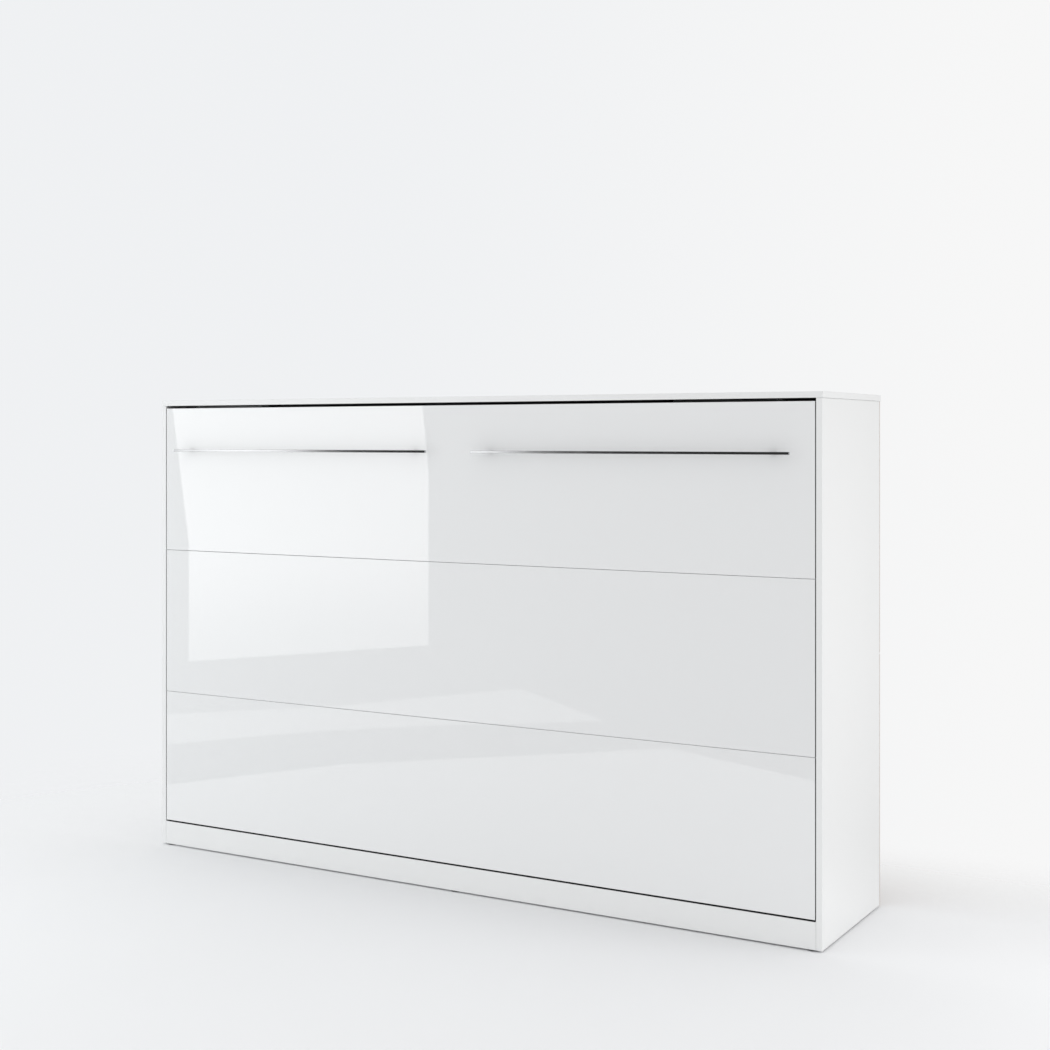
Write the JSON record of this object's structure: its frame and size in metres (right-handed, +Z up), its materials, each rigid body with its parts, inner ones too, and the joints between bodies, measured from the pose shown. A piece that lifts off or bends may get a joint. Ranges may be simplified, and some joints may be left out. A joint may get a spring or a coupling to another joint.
{
  "type": "murphy wall bed",
  "caption": "Horizontal wall bed that folds up into a low white cabinet with gloss front boards and long bar handles; the leaf swings down on gas struts and stands on fold-out legs.",
  "frame": {"origin": "on the floor under the centre of the bounding box", "axes": "+Z up, +X along the cabinet, +Y towards the wall"},
  "size_m": [2.155, 0.491, 1.3825],
  "materials": {
    "matt_white_board": "matt white melamine on particle board",
    "gloss_white_board": "high-gloss white lacquer on fibre board",
    "back_sheet": "thin fibre sheet, white on one side",
    "white_plastic": "satin extruded plastic",
    "glide_plastic": "dark moulded plastic",
    "black_rubber": "matt black rubber",
    "zinc_steel": "zinc-plated pressed steel",
    "handle_chrome": "polished chrome",
    "rod_chrome": "ground and plated steel",
    "grey_painted_steel": "grey powder coat",
    "black_painted_steel": "black powder coat",
    "birch_slat": "birch ply, clear lacquer",
    "mattress_fabric": "white knitted ticking, quilted",
    "strap_webbing": "grey woven webbing"
  },
  "bodies": {
    "cabinet": {"side_panel_left": "matt_white_board", "side_panel_right": "matt_white_board", "top_panel": "matt_white_board", "plinth": "matt_white_board", "bottom_board": "matt_white_board", "back_rail_bottom": "matt_white_board", "back_rail_top": "matt_white_board", "back_panel_lower": "back_sheet", "back_panel_upper": "back_sheet", "back_joint_strip": "white_plastic", "glide_front_left": "glide_plastic", "glide_front_middle": "glide_plastic", "glide_front_right": "glide_plastic", "glide_rear_left": "glide_plastic", "glide_rear_right": "glide_plastic", "wall_bracket_left": "zinc_steel", "wall_bracket_right": "zinc_steel", "bumper_left": "black_rubber", "bumper_right": "black_rubber", "hinge_plate_left": "zinc_steel", "hinge_plate_right": "zinc_steel", "strut_bracket_left": "zinc_steel", "strut_bracket_right": "zinc_steel"},
    "bed_leaf": {"front_board_bottom": "gloss_white_board", "front_board_middle": "gloss_white_board", "front_board_top": "gloss_white_board", "handle_left": "handle_chrome", "handle_right": "handle_chrome", "frame_rail_top": "grey_painted_steel", "frame_rail_bottom": "grey_painted_steel", "frame_end_left": "grey_painted_steel", "frame_end_right": "grey_painted_steel", "frame_cross_bar_lower": "grey_painted_steel", "frame_cross_bar_upper": "grey_painted_steel", "slat_01": "birch_slat", "slat_02": "birch_slat", "slat_03": "birch_slat", "slat_04": "birch_slat", "slat_05": "birch_slat", "slat_06": "birch_slat", "slat_07": "birch_slat", "slat_08": "birch_slat", "slat_09": "birch_slat", "slat_10": "birch_slat", "slat_11": "birch_slat", "mattress": "mattress_fabric", "mattress_strap_left": "strap_webbing", "mattress_strap_right": "strap_webbing", "hinge_arm_left": "zinc_steel", "hinge_arm_right": "zinc_steel", "leg_bolt_left": "zinc_steel", "leg_bolt_right": "zinc_steel"},
    "leg_left_body": {"leg_left": "black_painted_steel", "leg_pad_left": "black_rubber"},
    "cylinder_left_body": {"strut_cylinder_left": "black_painted_steel"},
    "rod_left_body": {"strut_rod_left": "rod_chrome"},
    "leg_right_body": {"leg_right": "black_painted_steel", "leg_pad_right": "black_rubber"},
    "cylinder_right_body": {"strut_cylinder_right": "black_painted_steel"},
    "rod_right_body": {"strut_rod_right": "rod_chrome"}
  },
  "joints": [
    {"name": "bed_fold", "type": "hinge", "parent": "cabinet", "child": "bed_leaf", "pos_m": [0, -0.1555, 0.3045], "axis": [1, 0, 0], "range_deg": [0, 90], "stiffness_Nm_per_rad": 180, "springref_deg": -5.73},
    {"name": "leg_swing_left", "type": "hinge", "parent": "bed_leaf", "child": "leg_left_body", "pos_m": [-0.95, -0.1755, 1.362], "axis": [0, 0, -1], "range_deg": [0, 90]},
    {"name": "strut_swing_left", "type": "hinge", "parent": "cabinet", "child": "cylinder_left_body", "pos_m": [-1.0405, -0.0755, 0.9045], "axis": [1, 0, 0], "range_deg": [0, 5.12]},
    {"name": "strut_stroke_left", "type": "slide", "parent": "cylinder_left_body", "child": "rod_left_body", "axis": [0, 0.0847, 0.9964], "range_m": [0, 0.1071]},
    {"name": "leg_swing_right", "type": "hinge", "parent": "bed_leaf", "child": "leg_right_body", "pos_m": [0.95, -0.1755, 1.362], "axis": [0, 0, 1], "range_deg": [0, 90]},
    {"name": "strut_swing_right", "type": "hinge", "parent": "cabinet", "child": "cylinder_right_body", "pos_m": [1.0405, -0.0755, 0.9045], "axis": [1, 0, 0], "range_deg": [0, 5.12]},
    {"name": "strut_stroke_right", "type": "slide", "parent": "cylinder_right_body", "child": "rod_right_body", "axis": [0, 0.0847, 0.9964], "range_m": [0, 0.1071]}
  ],
  "couplings": [
    {"joint": "strut_swing_left", "follows": "bed_fold", "ratio": 0.05632},
    {"joint": "strut_stroke_left", "follows": "bed_fold", "m_per_rad": 0.067839},
    {"joint": "strut_swing_right", "follows": "bed_fold", "ratio": 0.05632},
    {"joint": "strut_stroke_right", "follows": "bed_fold", "m_per_rad": 0.067839}
  ]
}
